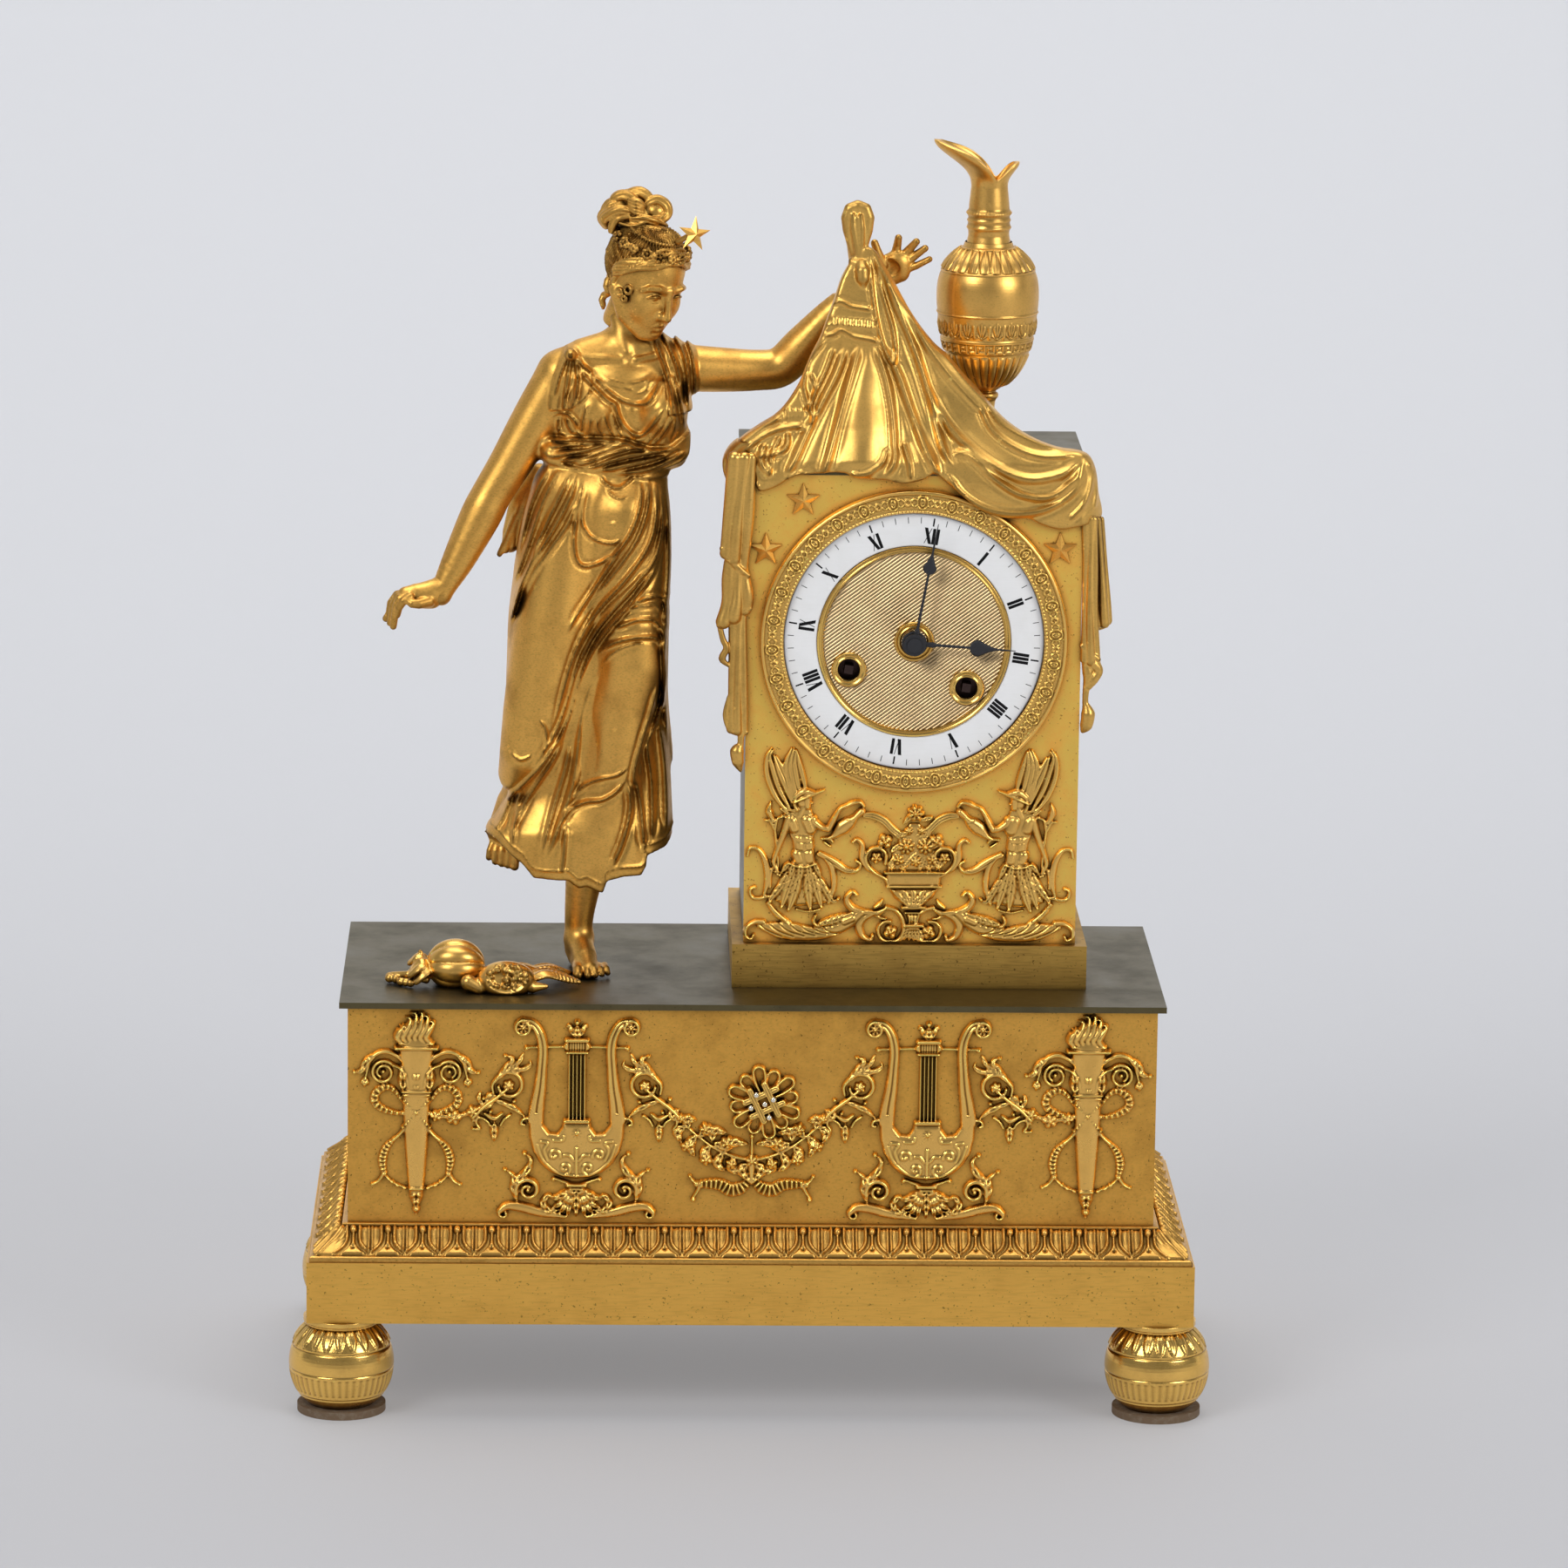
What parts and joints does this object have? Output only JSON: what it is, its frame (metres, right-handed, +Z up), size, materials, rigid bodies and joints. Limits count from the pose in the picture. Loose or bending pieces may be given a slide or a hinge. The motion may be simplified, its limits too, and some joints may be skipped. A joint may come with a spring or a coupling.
{
  "type": "figural mantel clock",
  "caption": "Gilt bronze mantel clock: striding draped figure beside a cloth-hung clock case with an ewer, on a long plinth with bun feet, relief mounts and a striking pendulum movement.",
  "frame": {"origin": "centre of the bounding box's underside, on the surface the pads rest on", "axes": "+X to the right along the plinth, -Y towards the viewer and the dial, +Z up"},
  "size_m": [0.3025, 0.1498, 0.4125],
  "materials": {
    "gilt": "matte and burnished fire gilding",
    "dark_brass": "dark oxidised brass",
    "brass": "satin brass",
    "steel": "plain steel",
    "blued_steel": "black-blue steel",
    "enamel": "glossy white enamel",
    "felt": "brown felt",
    "bell_metal": "pale bell bronze"
  },
  "bodies": {
    "root": {"felt_pads": "felt", "bun_feet": "gilt", "foot_bolts": "steel", "base_plinth": "gilt", "leaf_moulding": "gilt", "base_box": "gilt", "base_top_plate": "dark_brass", "torch_mounts": "gilt", "lyre_mounts": "gilt", "garland_mount": "gilt", "rosette_mount": "gilt", "fruit_casting": "gilt", "figure": "gilt", "diadem_star": "gilt", "case_plinth": "gilt", "case_front": "gilt", "case_sides": "dark_brass", "case_back": "dark_brass", "case_top": "dark_brass", "case_bolts": "steel", "winged_mounts": "gilt", "basket_mount": "gilt", "star_mounts": "gilt", "drape": "gilt", "drape_tails": "gilt", "ewer_body": "gilt", "ewer_neck": "gilt", "ewer_rod": "steel", "bezel": "gilt", "enamel_ring": "enamel", "dial_centre": "gilt", "dial_plate": "brass", "winding_collets": "gilt", "centre_collet": "gilt", "movement_plates": "brass", "pillars": "brass", "pendulum_cock": "brass", "bell": "bell_metal", "bell_stand": "steel", "door_hinge_pin": "steel", "movement_straps": "steel"},
    "minute": {"centre_arbor": "brass", "minute_hand": "blued_steel", "hand_nut": "blued_steel"},
    "hour": {"hour_wheel": "brass", "hour_hand": "blued_steel"},
    "minute_wheel": {"minute_wheel": "brass"},
    "going_barrel": {"going_barrel": "brass"},
    "strike_barrel": {"strike_barrel": "brass"},
    "going_arbor": {"going_arbor": "steel"},
    "strike_arbor": {"strike_arbor": "steel"},
    "third_wheel": {"third_wheel": "brass"},
    "escape_wheel": {"escape_wheel": "brass"},
    "anchor": {"anchor": "steel"},
    "pendulum": {"pendulum": "brass"},
    "pin_wheel": {"pin_wheel": "brass"},
    "locking_wheel": {"locking_wheel": "brass"},
    "fly": {"fly": "brass"},
    "hammer": {"hammer": "steel"},
    "back_door": {"back_door": "dark_brass"}
  },
  "joints": [
    {"name": "minute_turn", "type": "hinge", "parent": "root", "child": "minute", "pos_m": [0.0515, 0, 0.2528], "axis": [0, 1, 0], "continuous": true},
    {"name": "hour_turn", "type": "hinge", "parent": "root", "child": "hour", "pos_m": [0.0515, 0, 0.2528], "axis": [0, 1, 0], "continuous": true},
    {"name": "minute_wheel_turn", "type": "hinge", "parent": "root", "child": "minute_wheel", "pos_m": [0.05749, 0, 0.2603], "axis": [0, 1, 0], "continuous": true},
    {"name": "going_barrel_turn", "type": "hinge", "parent": "root", "child": "going_barrel", "pos_m": [0.06886, 0, 0.23753], "axis": [0, 1, 0], "continuous": true},
    {"name": "third_wheel_turn", "type": "hinge", "parent": "root", "child": "third_wheel", "pos_m": [0.06221, 0, 0.26224], "axis": [0, 1, 0], "continuous": true},
    {"name": "escape_wheel_turn", "type": "hinge", "parent": "root", "child": "escape_wheel", "pos_m": [0.05656, 0, 0.27228], "axis": [0, 1, 0], "continuous": true},
    {"name": "going_winding", "type": "hinge", "parent": "root", "child": "going_arbor", "pos_m": [0.06886, 0, 0.23753], "axis": [0, 1, 0], "range_deg": [0, 1440]},
    {"name": "strike_winding", "type": "hinge", "parent": "root", "child": "strike_arbor", "pos_m": [0.0304, 0, 0.24335], "axis": [0, 1, 0], "range_deg": [-1440, 0]},
    {"name": "pendulum_swing", "type": "hinge", "parent": "root", "child": "pendulum", "pos_m": [0.05643, 0.016, 0.28543], "axis": [0, 1, 0], "range_deg": [-4, 4]},
    {"name": "anchor_swing", "type": "hinge", "parent": "root", "child": "anchor", "pos_m": [0.05643, 0, 0.28543], "axis": [0, 1, 0], "range_deg": [-4, 4]},
    {"name": "pin_wheel_turn", "type": "hinge", "parent": "root", "child": "pin_wheel", "pos_m": [0.02983, 0, 0.26646], "axis": [0, 1, 0], "continuous": true},
    {"name": "strike_barrel_turn", "type": "hinge", "parent": "root", "child": "strike_barrel", "pos_m": [0.0304, 0, 0.24335], "axis": [0, 1, 0], "continuous": true},
    {"name": "locking_wheel_turn", "type": "hinge", "parent": "root", "child": "locking_wheel", "pos_m": [0.03501, 0, 0.2783], "axis": [0, 1, 0], "continuous": true},
    {"name": "fly_turn", "type": "hinge", "parent": "root", "child": "fly", "pos_m": [0.0446, 0, 0.27854], "axis": [0, 1, 0], "continuous": true},
    {"name": "hammer_lift", "type": "hinge", "parent": "root", "child": "hammer", "pos_m": [0.03638, 0, 0.21969], "axis": [0, 1, 0], "range_deg": [-12, 0], "stiffness_Nm_per_rad": 0.01},
    {"name": "door_swing", "type": "hinge", "parent": "root", "child": "back_door", "pos_m": [0.0934, 0.0494, 0.2528], "axis": [0, 0, -1], "range_deg": [0, 110]}
  ],
  "couplings": [
    {"joint": "hour_turn", "follows": "minute_turn", "ratio": 0.083333},
    {"joint": "minute_wheel_turn", "follows": "minute_turn", "ratio": -0.33333},
    {"joint": "going_barrel_turn", "follows": "minute_turn", "ratio": -0.16667},
    {"joint": "third_wheel_turn", "follows": "minute_turn", "ratio": -7.5},
    {"joint": "escape_wheel_turn", "follows": "minute_turn", "ratio": 52.5},
    {"joint": "anchor_swing", "follows": "pendulum_swing", "ratio": 1},
    {"joint": "strike_barrel_turn", "follows": "pin_wheel_turn", "ratio": -0.16667},
    {"joint": "locking_wheel_turn", "follows": "pin_wheel_turn", "ratio": -7.5},
    {"joint": "fly_turn", "follows": "pin_wheel_turn", "ratio": 52.5}
  ]
}
